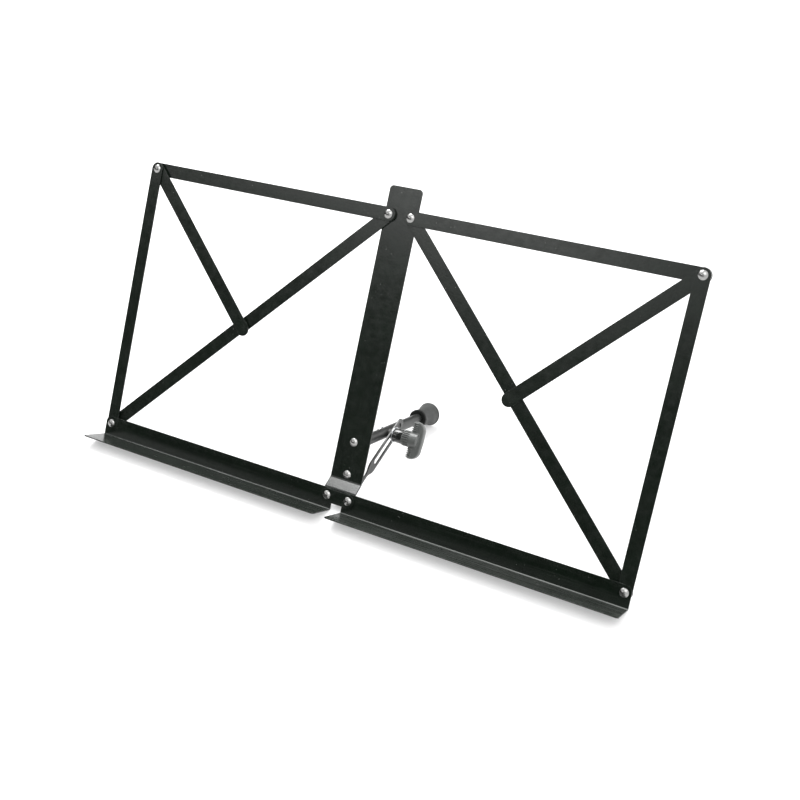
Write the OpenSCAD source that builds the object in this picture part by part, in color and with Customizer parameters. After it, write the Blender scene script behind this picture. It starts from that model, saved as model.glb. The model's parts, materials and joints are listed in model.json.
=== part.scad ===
// Table-top folding music stand: two folding wings on a centre plate, propped by a rear leg.
// The desk is laid out in its own coordinates, x to the right, y up the desk and z towards
// the reader, with z = 0 on the front of the centre plate. It is then leaned back until the
// bend of the ledges and the rim of the rubber foot stand on one level surface.

/* [Wings] */
// Distance along the ledge from a wing's inner pivot to its outer pivot
wing_reach = 245; // [180:1:320]
// Distance up the desk from the lower pivots to the upper pivots
wing_height = 245; // [180:1:320]
// Distance between the left wing's inner pivots and the right wing's
pivot_spacing = 21; // [17:0.5:30]
// Width of the flat bars
bar_w = 12; // [10:0.5:16]
// Thickness of the flat bars
bar_t = 1.2; // [1:0.1:1.8]
// Free play between one layer of bars and the next
layer_gap = 0.2; // [0.15:0.05:0.4]
// Length of a stay's plain end past the middle pivot
stay_overrun = 4; // [2:0.5:8]

/* [Ledges] */
// Thickness of the ledge sheet
ledge_t = 1; // [0.8:0.1:1.6]
// Height of the web above the lower pivots
web_above = 6.5; // [6:0.5:10]
// Depth of the web below the lower pivots
web_below = 12.5; // [10:0.5:20]
// Reach of the lip towards the reader, from the back of the web
lip_depth = 30; // [20:1:50]
// Length of the ledge past its outer pivot
ledge_overhang = 6; // [5.5:0.5:15]
// Gap between the two ledges at the middle of the desk
ledge_split = 10.4; // [8:0.2:12]
// Inside radius of the bend between web and lip
bend_r = 0.6; // [0.3:0.1:2]
// Radius of the lip's front corners
lip_corner = 2.5; // [1:0.5:8]

/* [Centre plate] */
// Width of the plate
plate_w = 31; // [28:0.5:45]
// Thickness of the plate
plate_t = 1.5; // [1.2:0.1:2.5]
// Height of the plate above the upper pivots
plate_above = 24.5; // [12:0.5:40]
// Length, up the desk, of the slanted step that brings the tab forward
step_run = 8; // [6:0.5:14]
// Radius of the plate's top corners
plate_corner = 3.5; // [1:0.5:8]

/* [Rivets] */
// Diameter of the shanks
shank_d = 4; // [3:0.5:4.5]
// Diameter of the domed heads
head_d = 7.5; // [6:0.5:9]
// Height of the domed heads
head_h = 1.7; // [1:0.1:2]
// Diameter of the tails at the back
tail_d = 6.4; // [5.5:0.1:8]
// Height of the tails at the back
tail_h = 0.8; // [0.5:0.1:1.2]
// Radial play of a shank in a bar that turns on it
running_gap = 0.05; // [0.02:0.01:0.1]
// Diameter of the spacer washers between bars
spacer_d = 9; // [8:0.5:12]

/* [Leg] */
// Outside diameter of the leg tube
tube_d = 10; // [8:0.5:14]
// Wall of the leg tube
tube_wall = 1; // [0.8:0.1:2]
// Distance from the leg's pivot to the far end of the foot
leg_length = 139.5; // [110:0.5:180]
// Height of the leg's pivot above the lower pivots
leg_pivot_up = 47.5; // [40:0.5:60]
// Distance of the leg's pivot behind the front of the plate
leg_pivot_back = 11; // [10:0.5:16]
// Upward angle of the leg, measured from square to the plate
leg_angle = 8.6; // [0:0.1:20]
// Length of the rubber foot
foot_length = 27.3; // [18:0.1:40]
// Diameter of the foot's near collar
foot_collar_d = 17.5; // [15:0.5:22]
// Diameter of the foot's far rim
foot_rim_d = 22.5; // [18:0.5:30]
// Thickness of rubber past the end of the tube
foot_sole = 6; // [3:0.5:10]

/* [Strut and clamp] */
// Thickness of the leg bracket
bracket_t = 1.5; // [1.2:0.1:2.5]
// Thickness of the slotted strut
strut_t = 1.5; // [1.2:0.1:2.5]
// Width of the strut along its slot
strut_w = 12; // [11:0.5:18]
// Width of the strut's narrow tail
tail_w = 3.2; // [2.5:0.1:6]
// Width of the slot
slot_w = 6; // [5.5:0.1:8]
// Distance from the strut's pivot to the near end of the slot
slot_near = 43.6; // [35:0.1:60]
// Distance from the strut's pivot to the far end of the slot
slot_far = 94.4; // [88:0.1:120]
// Diameter of the clamp bolt
bolt_d = 5; // [4:0.5:5]
// Diameter of the clamp washer
washer_d = 14.5; // [12:0.5:18]
// Thickness of the clamp washer
washer_t = 1.2; // [0.8:0.1:2]
// Play between the pieces of the clamp that turn against each other
clamp_gap = 0.1; // [0.05:0.05:0.2]
// Diameter of the knob's collar
knob_collar_d = 13; // [11:0.5:18]
// Length of the knob from its collar's face to the outer face of its wings
knob_length = 28; // [24:0.5:36]
// Distance between the tips of the knob's wings
knob_span = 34; // [28:1:44]
// Thickness of the knob's wings
knob_wing_t = 5.5; // [4:0.5:7]
// Turn of the knob's wings about the bolt, from the line of the leg
knob_turn = 75; // [0:5:175]

/* [Hidden] */
$fn = 48;

black_paint = [0.07, 0.075, 0.07];
bright_steel = [0.8, 0.8, 0.8];
dark_rubber = [0.13, 0.13, 0.13];
black_plastic = [0.1, 0.1, 0.1];
brass = [0.75, 0.6, 0.3];

// Layers of the desk, from the plate towards the reader; each value is the layer's back face
layer_pitch = bar_t + layer_gap;
inner_brace_z = layer_gap;
top_bar_z = inner_brace_z + layer_pitch;
outer_brace_z = top_bar_z + layer_pitch;
stay_z = outer_brace_z + layer_pitch;
upright_z = stay_z + layer_pitch;
web_z = upright_z + layer_pitch;
tab_front_z = web_z - layer_gap;
strap_z = web_z + ledge_t + layer_gap;

// Play between a washer, head or tail and a bar that turns against it
face_gap = 0.05;
// How far cutters run past a face, and how deep joined solids sink into each other
cut = 1;
sink = 0.3;

// Pivots of the right wing, in the plane of the desk
inner_x = pivot_spacing / 2;
outer_x = inner_x + wing_reach;
ledge_inner = [inner_x, 0];
ledge_outer = [outer_x, 0];
top_inner = [inner_x, wing_height];
top_outer = [outer_x, wing_height];
middle = (top_inner + ledge_outer) / 2;

running_d = shank_d + 2 * running_gap;
web_bottom = -web_below;
bend_out_r = bend_r + ledge_t;
ledge_start = ledge_split / 2;
ledge_end = outer_x + ledge_overhang;
web_corner = web_above - 1;
tab_bottom = -bar_w / 2 + 0.5;
tab_top = bar_w / 2 + 1;
step_top = tab_top + step_run;
// A step of constant thickness has its back corners lower by this much
step_shift = plate_t * tan(atan2(tab_front_z, step_run) / 2);

// Leg and strut, as [y, z] points in the plane x = 0 of the desk
leg_pivot = [leg_pivot_up, -leg_pivot_back];
strut_pivot = [0, 0];
leg_dir = [sin(leg_angle), -cos(leg_angle)];
// The bolt is as far from the leg's pivot as the strut's pivot is, so the strut always turns
// by half the angle of the leg
clamp_reach = norm(leg_pivot - strut_pivot);
clamp_point = leg_pivot + clamp_reach * leg_dir;
strut_angle = atan2(clamp_point[0] - strut_pivot[0], strut_pivot[1] - clamp_point[1]);

ear_gap = 0.3;
ear_inside = tube_d / 2 + ear_gap;
ear_outside = ear_inside + bracket_t;
pin_head_h = 1.2;
pin_head_d = 7;
strut_x = ear_outside + 0.2;
spacer_end = strut_x - clamp_gap;
washer_x = strut_x + strut_t + clamp_gap;
knob_x = washer_x + washer_t + clamp_gap;
base_low = step_top + 2;
base_high = leg_pivot_up + 10.5;
bracket_back = -plate_t - bracket_t;
bracket_rivets_y = [step_top + 5, leg_pivot_up + 1.5];
bolt_head_d = 8.5;
bolt_head_x = -tube_d / 2 - 2.4;
insert_d = 8;
insert_length = 10;
knob_hub_d = knob_collar_d + 1.5;
knob_wing_from = knob_length - 12;
foot_rim_round = 1.5;

// Lean of the desk: the centre of the ledge's bend and the centre of the foot's rounded rim
// lie at heights above the table that differ by the difference of the two radii
bend_centre = [web_bottom + bend_out_r, web_z + bend_out_r];
rim_centre_r = foot_rim_d / 2 - foot_rim_round;
leg_down = [-cos(leg_angle), -sin(leg_angle)];
rim_centre = leg_pivot + (leg_length - foot_rim_round) * leg_dir + rim_centre_r * leg_down;
bend_to_rim = rim_centre - bend_centre;
tilt = acos((foot_rim_round - bend_out_r) / norm(bend_to_rim))
    - atan2(-bend_to_rim[1], bend_to_rim[0]);
function row_y(p) = p[0] * sin(tilt) - p[1] * cos(tilt);
function row_z(p) = p[0] * cos(tilt) + p[1] * sin(tilt);
lift = bend_out_r - row_z(bend_centre);
front_y = row_y([web_bottom, web_z + lip_depth]);
back_y = row_y(rim_centre - 2 * rim_centre_r * leg_down) + foot_rim_round;
shift_y = -(front_y + back_y) / 2;

// ---- placing ----

module desk() {
    translate([0, shift_y, lift]) rotate([90 - tilt, 0, 0]) children();
}

module on_left() {
    desk() mirror([1, 0, 0]) children();
}

module on_right() {
    desk() children();
}

// z along the leg, from its pivot to its foot
module along_leg() {
    desk() translate([0, leg_pivot[0], leg_pivot[1]]) rotate([180 + leg_angle, 0, 0]) children();
}

// z along the strut, from its pivot to its far end
module along_strut() {
    desk() translate([0, strut_pivot[0], strut_pivot[1]])
        rotate([180 + strut_angle, 0, 0]) children();
}

// z square to the leg, along +x, from the middle of the desk
module across(reach) {
    translate([0, 0, reach]) rotate([0, 90, 0]) children();
}

module at(pivot, z) {
    translate([pivot[0], pivot[1], z]) children();
}

// ---- repeated shapes ----

// A ball cap that stands on z = 0
module dome(d, h) {
    ball_r = (d * d / 4 + h * h) / (2 * h);
    intersection() {
        translate([0, 0, h - ball_r]) sphere(r = ball_r, $fn = 64);
        cylinder(d = d + cut, h = h + cut);
    }
}

module rivet(back, front, head = head_d) {
    translate([0, 0, back - sink]) cylinder(d = shank_d, h = front - back + 2 * sink);
    translate([0, 0, front]) dome(head, head_h);
    translate([0, 0, back]) mirror([0, 0, 1]) dome(tail_d, tail_h);
}

module spacer(back, front) {
    difference() {
        translate([0, 0, back]) cylinder(d = spacer_d, h = front - back);
        translate([0, 0, back - cut]) cylinder(d = shank_d, h = front - back + 2 * cut);
    }
}

// A flat bar with full round ends; holes are the diameters at its two ends, 0 for none
module bar(from, to, z, holes) {
    span = to - from;
    reach = norm(span);
    at(from, z) rotate([0, 0, atan2(span[1], span[0])]) difference() {
        union() {
            translate([0, -bar_w / 2, 0]) cube([reach, bar_w, bar_t]);
            cylinder(d = bar_w, h = bar_t);
            translate([reach, 0, 0]) cylinder(d = bar_w, h = bar_t);
        }
        for (end = [0, 1])
            if (holes[end] > 0)
                translate([end * reach, 0, -cut]) cylinder(d = holes[end], h = bar_t + 2 * cut);
    }
}

// The waste outside a rounded corner whose point is at the origin and that opens to +x, +y
module corner_waste(r) {
    difference() {
        translate([-cut, -cut]) square(r + cut);
        translate([r, r]) circle(r);
    }
}

// ---- wings ----

// Section of the ledge in [y, z]: web, bend and lip
module ledge_section() {
    translate([web_bottom + bend_out_r, web_z])
        square([web_above + web_below - bend_out_r, ledge_t]);
    translate([web_bottom, web_z + bend_out_r])
        square([ledge_t, lip_depth - bend_out_r]);
    intersection() {
        translate([bend_centre[0], bend_centre[1]]) difference() {
            circle(bend_out_r);
            circle(bend_r);
        }
        translate([web_bottom, web_z]) square(bend_out_r);
    }
}

module ledge() {
    length = ledge_end - ledge_start;
    difference() {
        translate([ledge_start, 0, 0]) rotate([90, 0, 90]) linear_extrude(length) ledge_section();
        at(ledge_inner, web_z - cut) cylinder(d = running_d, h = ledge_t + 2 * cut);
        at(ledge_outer, web_z - cut) cylinder(d = shank_d, h = ledge_t + 2 * cut);
        // Rounded top corner of the web's outer end
        translate([ledge_end, web_above, web_z - cut]) rotate([0, 0, 180])
            linear_extrude(ledge_t + 2 * cut) corner_waste(web_corner);
        // Rounded front corners of the lip
        translate([0, web_bottom + ledge_t + cut, web_z + lip_depth]) rotate([90, 0, 0])
            linear_extrude(ledge_t + 2 * cut) {
                translate([ledge_start, 0]) mirror([0, 1]) corner_waste(lip_corner);
                translate([ledge_end, 0]) rotate([0, 0, 180]) corner_waste(lip_corner);
            }
    }
}

module top_bar() {
    bar(top_inner, top_outer, top_bar_z, [running_d, running_d]);
}

module upright() {
    bar(ledge_outer, top_outer, upright_z, [running_d, shank_d]);
}

module inner_brace() {
    bar(top_inner, middle, inner_brace_z, [running_d, shank_d]);
}

module outer_brace() {
    bar(middle, ledge_outer, outer_brace_z, [shank_d, running_d]);
}

module stay() {
    inward = (middle - top_outer) / norm(middle - top_outer);
    bar(top_outer, middle + stay_overrun * inward, stay_z, [running_d, 0]);
}

module top_inner_rivet() {
    at(top_inner, 0) rivet(-plate_t, top_bar_z + bar_t + face_gap);
}

module top_outer_rivet() {
    at(top_outer, 0) rivet(top_bar_z - face_gap, upright_z + bar_t);
}

module ledge_inner_rivet() {
    at(ledge_inner, 0) rivet(tab_front_z - plate_t, strap_z + bar_t);
}

module ledge_outer_rivet() {
    at(ledge_outer, 0) rivet(outer_brace_z - face_gap, web_z + ledge_t);
}

// Shank of the middle pivot: fixed in the outer brace, flush with its front
module middle_eyelet() {
    from = inner_brace_z + bar_t + face_gap;
    at(middle, from) cylinder(d = shank_d, h = outer_brace_z + bar_t - from);
}

// Tail of the middle pivot: set flush in the inner brace
module middle_tail() {
    at(middle, inner_brace_z) cylinder(d = shank_d, h = bar_t);
}

module top_spacer() {
    at(top_outer, 0) spacer(top_bar_z + bar_t + face_gap, stay_z - face_gap);
}

module ledge_spacer() {
    at(ledge_outer, 0) spacer(outer_brace_z + bar_t + face_gap, upright_z - face_gap);
}

module middle_spacer() {
    at(middle, 0) spacer(inner_brace_z + bar_t + face_gap, outer_brace_z);
}

// ---- centre ----

// Section of the centre plate in [y, z]: flat, slanted step and tab
module plate_section() {
    polygon([
        [wing_height + plate_above, 0],
        [step_top, 0],
        [tab_top, tab_front_z],
        [tab_bottom, tab_front_z],
        [tab_bottom, tab_front_z - plate_t],
        [tab_top - step_shift, tab_front_z - plate_t],
        [step_top - step_shift, -plate_t],
        [wing_height + plate_above, -plate_t]
    ]);
}

module center_plate() {
    color(black_paint) desk() difference() {
        translate([-plate_w / 2, 0, 0]) rotate([90, 0, 90]) linear_extrude(plate_w) plate_section();
        for (side = [-1, 1]) {
            translate([side * inner_x, wing_height, -plate_t - cut])
                cylinder(d = shank_d, h = plate_t + 2 * cut);
            translate([side * inner_x, 0, tab_front_z - plate_t - cut])
                cylinder(d = shank_d, h = plate_t + 2 * cut);
        }
        for (y = bracket_rivets_y)
            translate([0, y, -plate_t - cut]) cylinder(d = shank_d, h = plate_t + 2 * cut);
        translate([0, wing_height + plate_above, -plate_t - cut])
            linear_extrude(plate_t + 2 * cut) {
                translate([plate_w / 2, 0]) rotate([0, 0, 180]) corner_waste(plate_corner);
                translate([-plate_w / 2, 0]) mirror([0, 1]) corner_waste(plate_corner);
            }
    }
}

module link_strap() {
    color(black_paint) desk() bar(-ledge_inner, ledge_inner, strap_z, [shank_d, shank_d]);
}

// Outline of a bracket ear in [y, z]: a broad part on the plate's back and a hooked neck that
// carries the strut's pivot behind the tab
module ear_outline() {
    neck_r = 3;
    elbow = [10, -9];
    hull() {
        translate(leg_pivot) circle(6.5, $fn = 32);
        translate([base_low, bracket_back]) square([base_high - base_low, bracket_t]);
        translate([base_low + neck_r, elbow[1] - cut]) circle(neck_r, $fn = 32);
    }
    hull() {
        translate(elbow) circle(neck_r, $fn = 32);
        translate([base_low + neck_r, elbow[1] - cut]) circle(neck_r, $fn = 32);
    }
    hull() {
        translate(strut_pivot) circle(4.6, $fn = 32);
        translate(elbow) circle(neck_r, $fn = 32);
    }
}

module leg_bracket() {
    inside_w = 2 * ear_inside;
    color(black_paint) desk() difference() {
        translate([-ear_outside, 0, 0]) rotate([90, 0, 90])
            linear_extrude(2 * ear_outside) ear_outline();
        // Room for the tube between the ears, behind the base and beside the neck
        translate([-ear_inside, -3 * leg_pivot_back, bracket_back - 4 * leg_pivot_back])
            cube([inside_w, 2 * base_high, 4 * leg_pivot_back]);
        translate([-ear_inside, -base_low, -2 * leg_pivot_back])
            cube([inside_w, 2 * base_low, 4 * leg_pivot_back]);
        for (pivot = [leg_pivot, strut_pivot])
            translate([-ear_outside - cut, pivot[0], pivot[1]]) rotate([0, 90, 0])
                cylinder(d = shank_d, h = 2 * (ear_outside + cut));
        for (y = bracket_rivets_y)
            translate([0, y, bracket_back - cut]) cylinder(d = shank_d, h = bracket_t + 2 * cut);
    }
}

module bracket_rivets() {
    color(bright_steel) desk()
        for (y = bracket_rivets_y)
            translate([0, y, 0]) rivet(bracket_back, 0);
}

// A pin along x with a low domed head at each end
module cross_pin(low, high) {
    translate([low - sink, 0, 0]) rotate([0, 90, 0])
        cylinder(d = shank_d, h = high - low + 2 * sink);
    translate([high, 0, 0]) rotate([0, 90, 0]) dome(pin_head_d, pin_head_h);
    translate([low, 0, 0]) rotate([0, -90, 0]) dome(pin_head_d, pin_head_h);
}

module leg_pivot_pin() {
    color(bright_steel) desk() translate([0, leg_pivot[0], leg_pivot[1]])
        cross_pin(-ear_outside, ear_outside);
}

module strut_pivot_pin() {
    color(bright_steel) desk() translate([0, strut_pivot[0], strut_pivot[1]])
        cross_pin(-ear_outside, strut_x + strut_t + face_gap);
}

// ---- leg, strut and clamp ----

module leg_tube() {
    tube_end = leg_length - foot_sole;
    inner_d = tube_d - 2 * tube_wall;
    color(black_paint) along_leg() difference() {
        union() {
            cylinder(d = tube_d, h = tube_end);
            // The pivot end is rounded about the pin
            intersection() {
                translate([0, 0, -tube_d]) cylinder(d = tube_d, h = tube_d + sink);
                translate([-tube_d, 0, 0]) rotate([0, 90, 0]) cylinder(d = tube_d, h = 2 * tube_d);
            }
        }
        translate([0, 0, shank_d]) cylinder(d = inner_d, h = tube_end);
        across(0) translate([0, 0, -tube_d]) cylinder(d = running_d, h = 2 * tube_d);
        across(clamp_reach) translate([0, 0, -tube_d]) cylinder(d = bolt_d, h = 2 * tube_d);
    }
}

// Section of the foot in [radius, distance from its near face]
module foot_section() {
    collar_h = 3.2;
    waist_r = foot_collar_d / 2 - 0.9;
    flare_end = foot_length - foot_rim_round;
    flare_steps = 10;
    polygon(concat(
        [
            [tube_d / 2, 0],
            [foot_collar_d / 2 - 0.6, 0],
            [foot_collar_d / 2, 0.6],
            [foot_collar_d / 2, collar_h - 0.5],
            [waist_r, collar_h]
        ],
        [
            for (i = [0 : flare_steps])
                let (u = i / flare_steps)
                    [
                        waist_r + (foot_rim_d / 2 - waist_r) * (1 - cos(90 * u)),
                        collar_h + (flare_end - collar_h) * u
                    ]
        ],
        [[rim_centre_r, foot_length], [0, foot_length]],
        [[0, foot_length - foot_sole], [tube_d / 2, foot_length - foot_sole]]
    ));
    translate([rim_centre_r, flare_end]) circle(foot_rim_round, $fn = 32);
}

module rubber_foot() {
    color(dark_rubber) along_leg() translate([0, 0, leg_length - foot_length])
        rotate_extrude($fn = 64) foot_section();
}

// The strut is drawn flat, with its length along +y and its thickness along +z
module strut_outline() {
    end_r = strut_w / 2;
    body_near = slot_near - 6;
    end_centre = slot_far + 4.4 - end_r;
    eye_r = 4.6;
    neck_near = body_near - 7;
    circle(eye_r);
    polygon([
        [-tail_w / 2, 0], [tail_w / 2, 0], [tail_w / 2, neck_near], [end_r, body_near],
        [end_r, end_centre], [-end_r, end_centre], [-end_r, body_near], [-tail_w / 2, neck_near]
    ]);
    translate([0, end_centre]) circle(end_r);
}

module slot_outline() {
    slot_r = slot_w / 2;
    translate([-slot_r, slot_near + slot_r]) square([slot_w, slot_far - slot_near - slot_w]);
    translate([0, slot_near + slot_r]) circle(slot_r);
    translate([0, slot_far - slot_r]) circle(slot_r);
}

module tilt_strut() {
    color(black_paint) along_strut() translate([strut_x, 0, 0]) rotate([90, 0, 90])
        difference() {
            linear_extrude(strut_t) strut_outline();
            translate([0, 0, -cut]) linear_extrude(strut_t + 2 * cut) slot_outline();
            translate([0, 0, -cut]) cylinder(d = running_d, h = strut_t + 2 * cut);
        }
}

// Runs from a head bedded on the tube's left side to just short of the end of the insert
module clamp_bolt() {
    bolt_end = knob_x + insert_length - 1;
    color(bright_steel) along_leg() difference() {
        across(clamp_reach) {
            translate([0, 0, bolt_head_x]) cylinder(d = bolt_head_d, h = tube_d / 2);
            translate([0, 0, bolt_head_x]) cylinder(d = bolt_d, h = bolt_end - bolt_head_x);
        }
        difference() {
            cylinder(d = tube_d, h = 2 * clamp_reach);
            across(clamp_reach) translate([0, 0, -tube_d]) cylinder(d = bolt_d, h = 3 * tube_d);
        }
    }
}

// Bedded on the tube's round side, and flat towards the strut
module clamp_spacer() {
    color(black_plastic) along_leg() difference() {
        across(clamp_reach) cylinder(d = spacer_d, h = spacer_end);
        cylinder(d = tube_d, h = 2 * clamp_reach);
        across(clamp_reach) translate([0, 0, -cut]) cylinder(d = bolt_d, h = spacer_end + 2 * cut);
    }
}

module clamp_washer() {
    color(bright_steel) along_leg() across(clamp_reach) difference() {
        translate([0, 0, washer_x]) cylinder(d = washer_d, h = washer_t);
        translate([0, 0, washer_x - cut]) cylinder(d = bolt_d, h = washer_t + 2 * cut);
    }
}

// One wing of the knob, drawn in [distance from the bolt, distance from the collar's face]
module knob_wing_outline() {
    inner_r = 1.5;
    outer_r = 6;
    tip = knob_span / 2;
    hull() {
        translate([tip - outer_r, knob_length - outer_r]) circle(outer_r, $fn = 32);
        translate([tip - inner_r, knob_wing_from + inner_r + 0.5]) circle(inner_r, $fn = 32);
        translate([0, knob_wing_from]) square([knob_hub_d / 4, knob_length - knob_wing_from]);
    }
}

module wing_knob() {
    hub_from = 9;
    crown_h = 1.5;
    hub_end = knob_length - 3;
    color(black_plastic) along_leg() across(clamp_reach) translate([0, 0, knob_x])
        difference() {
            union() {
                cylinder(d = knob_collar_d, h = hub_from + cut);
                translate([0, 0, hub_from])
                    cylinder(d = knob_hub_d, h = hub_end - crown_h - hub_from);
                translate([0, 0, hub_end - crown_h]) dome(knob_collar_d - 2, crown_h);
                for (side = [0, 180])
                    rotate([0, 0, knob_turn + side]) rotate([90, 0, 0])
                        translate([0, 0, -knob_wing_t / 2])
                            linear_extrude(knob_wing_t) knob_wing_outline();
            }
            translate([0, 0, -cut]) cylinder(d = insert_d, h = insert_length + cut);
        }
}

// Threaded insert, held in the knob and turning on the bolt
module knob_insert() {
    color(brass) along_leg() across(clamp_reach) translate([0, 0, knob_x])
        difference() {
            cylinder(d = insert_d, h = insert_length);
            translate([0, 0, -cut])
                cylinder(d = bolt_d + 2 * running_gap, h = insert_length + 2 * cut);
        }
}

// ---- the same pieces on either side ----

module left_ledge() {
    color(black_paint) on_left() ledge();
}

module right_ledge() {
    color(black_paint) on_right() ledge();
}

module left_top_bar() {
    color(black_paint) on_left() top_bar();
}

module right_top_bar() {
    color(black_paint) on_right() top_bar();
}

module left_upright() {
    color(black_paint) on_left() upright();
}

module right_upright() {
    color(black_paint) on_right() upright();
}

module left_inner_brace() {
    color(black_paint) on_left() inner_brace();
}

module right_inner_brace() {
    color(black_paint) on_right() inner_brace();
}

module left_outer_brace() {
    color(black_paint) on_left() outer_brace();
}

module right_outer_brace() {
    color(black_paint) on_right() outer_brace();
}

module left_stay() {
    color(black_paint) on_left() stay();
}

module right_stay() {
    color(black_paint) on_right() stay();
}

module left_top_inner_rivet() {
    color(bright_steel) on_left() top_inner_rivet();
}

module right_top_inner_rivet() {
    color(bright_steel) on_right() top_inner_rivet();
}

module left_top_outer_rivet() {
    color(bright_steel) on_left() top_outer_rivet();
}

module right_top_outer_rivet() {
    color(bright_steel) on_right() top_outer_rivet();
}

module left_ledge_inner_rivet() {
    color(bright_steel) on_left() ledge_inner_rivet();
}

module right_ledge_inner_rivet() {
    color(bright_steel) on_right() ledge_inner_rivet();
}

module left_ledge_outer_rivet() {
    color(bright_steel) on_left() ledge_outer_rivet();
}

module right_ledge_outer_rivet() {
    color(bright_steel) on_right() ledge_outer_rivet();
}

module left_middle_eyelet() {
    color(bright_steel) on_left() middle_eyelet();
}

module right_middle_eyelet() {
    color(bright_steel) on_right() middle_eyelet();
}

module left_middle_tail() {
    color(bright_steel) on_left() middle_tail();
}

module right_middle_tail() {
    color(bright_steel) on_right() middle_tail();
}

module left_top_spacer() {
    color(black_plastic) on_left() top_spacer();
}

module right_top_spacer() {
    color(black_plastic) on_right() top_spacer();
}

module left_ledge_spacer() {
    color(black_plastic) on_left() ledge_spacer();
}

module right_ledge_spacer() {
    color(black_plastic) on_right() ledge_spacer();
}

module left_middle_spacer() {
    color(black_plastic) on_left() middle_spacer();
}

module right_middle_spacer() {
    color(black_plastic) on_right() middle_spacer();
}

center_plate();
link_strap();
left_ledge();
right_ledge();
left_top_bar();
right_top_bar();
left_upright();
right_upright();
left_inner_brace();
right_inner_brace();
left_outer_brace();
right_outer_brace();
left_stay();
right_stay();
left_top_inner_rivet();
right_top_inner_rivet();
left_top_outer_rivet();
right_top_outer_rivet();
left_ledge_inner_rivet();
right_ledge_inner_rivet();
left_ledge_outer_rivet();
right_ledge_outer_rivet();
left_middle_eyelet();
right_middle_eyelet();
left_middle_tail();
right_middle_tail();
left_top_spacer();
right_top_spacer();
left_ledge_spacer();
right_ledge_spacer();
left_middle_spacer();
right_middle_spacer();
leg_bracket();
bracket_rivets();
leg_pivot_pin();
strut_pivot_pin();
leg_tube();
rubber_foot();
tilt_strut();
clamp_bolt();
clamp_spacer();
clamp_washer();
wing_knob();
knob_insert();
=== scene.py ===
"""Looks of the table-top folding music stand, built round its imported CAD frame.

Pieces are drawn in millimetres: on the desk with x to the right, y up the desk and z towards the
reader, or along the leg, the strut or a pin. Each is then put in its place in metres.
"""

import json
import math

import bmesh
import bpy
from mathutils import Matrix, Vector


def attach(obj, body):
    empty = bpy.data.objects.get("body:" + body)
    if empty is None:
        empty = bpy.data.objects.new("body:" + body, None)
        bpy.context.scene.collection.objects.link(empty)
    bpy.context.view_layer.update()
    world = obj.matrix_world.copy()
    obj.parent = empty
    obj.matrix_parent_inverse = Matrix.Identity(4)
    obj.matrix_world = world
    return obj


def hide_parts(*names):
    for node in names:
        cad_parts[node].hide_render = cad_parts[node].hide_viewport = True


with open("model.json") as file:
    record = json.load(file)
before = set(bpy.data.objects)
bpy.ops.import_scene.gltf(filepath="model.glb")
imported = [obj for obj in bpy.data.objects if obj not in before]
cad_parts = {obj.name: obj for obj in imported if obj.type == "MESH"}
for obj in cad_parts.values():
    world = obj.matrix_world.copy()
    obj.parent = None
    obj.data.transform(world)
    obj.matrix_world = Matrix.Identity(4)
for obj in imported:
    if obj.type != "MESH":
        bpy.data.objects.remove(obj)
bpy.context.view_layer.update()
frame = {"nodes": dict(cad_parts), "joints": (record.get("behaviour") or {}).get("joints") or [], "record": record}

MM = 0.001
RIGHT = Vector((1, 0, 0))
NODES = frame["nodes"]
JOINTS = {joint["name"]: joint for joint in frame["joints"]}
BODIES = frame["record"]["behaviour"]["bodies"]
BODY_OF = {node: body for body, members in BODIES.items() for node in members}


# ---- drawing places ----


def drawing_place(origin, x_axis, y_axis):
    """Matrix from a drawing in millimetres to the row frame in metres."""
    axes = Matrix((x_axis, y_axis, x_axis.cross(y_axis))).transposed().to_4x4()
    return Matrix.Translation(origin) @ axes @ Matrix.Scale(MM, 4)


def joint_place(name):
    return Vector(JOINTS[name]["pos_m"])


def in_the_middle(point):
    return Vector((0, point.y, point.z))


def extent(node, place):
    """Lowest and highest corner of a CAD node, in the millimetres of a drawing place."""
    back = place.inverted()
    points = [back @ vertex.co for vertex in NODES[node].data.vertices]
    low = Vector([min(point[axis] for point in points) for axis in range(3)])
    high = Vector([max(point[axis] for point in points) for axis in range(3)])
    return low, high


lower_pivot = joint_place("right_wing_fold")
upper_pivot = joint_place("right_top_bar_turn")
desk_up = (upper_pivot - lower_pivot).normalized()
DESK = drawing_place(in_the_middle(lower_pivot), RIGHT, desk_up)

leg_pivot = in_the_middle(joint_place("leg_tilt"))
strut_pivot = in_the_middle(joint_place("strut_turn"))
bolt_middle = in_the_middle(joint_place("knob_turn"))
leg_line = (bolt_middle - leg_pivot).normalized()
strut_line = (bolt_middle - strut_pivot).normalized()
LEG = drawing_place(leg_pivot, RIGHT, leg_line.cross(RIGHT))
STRUT = drawing_place(strut_pivot, strut_line.cross(RIGHT), strut_line)
CLAMP = drawing_place(bolt_middle, -leg_line, leg_line.cross(RIGHT))
LEG_PIN = drawing_place(leg_pivot, -leg_line, leg_line.cross(RIGHT))
STRUT_PIN = drawing_place(strut_pivot, -leg_line, leg_line.cross(RIGHT))


def on_desk(joint_name):
    return DESK.inverted() @ joint_place(joint_name)


TOP_INNER = on_desk("right_top_bar_turn")
TOP_OUTER = on_desk("right_stay_turn")
LEDGE_INNER = on_desk("right_wing_fold")
LEDGE_OUTER = on_desk("right_upright_turn")
MIDDLE = (TOP_INNER + LEDGE_OUTER) / 2

SHANK_D = 4.0
RUNNING_D = 4.1
HEAD_D = 7.5
HEAD_H = 1.7
TAIL_D = 6.4
TAIL_H = 0.8
PIN_HEAD_D = 7.0
PIN_HEAD_H = 1.2
BOLT_D = 5.0
BRACKET_RIVET_HEIGHTS = (20.0, 49.0)
BRACKET_BACK = -3.0


# ---- modelling ----


def recalculated(bm):
    bmesh.ops.recalc_face_normals(bm, faces=bm.faces[:])
    return bm


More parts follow.
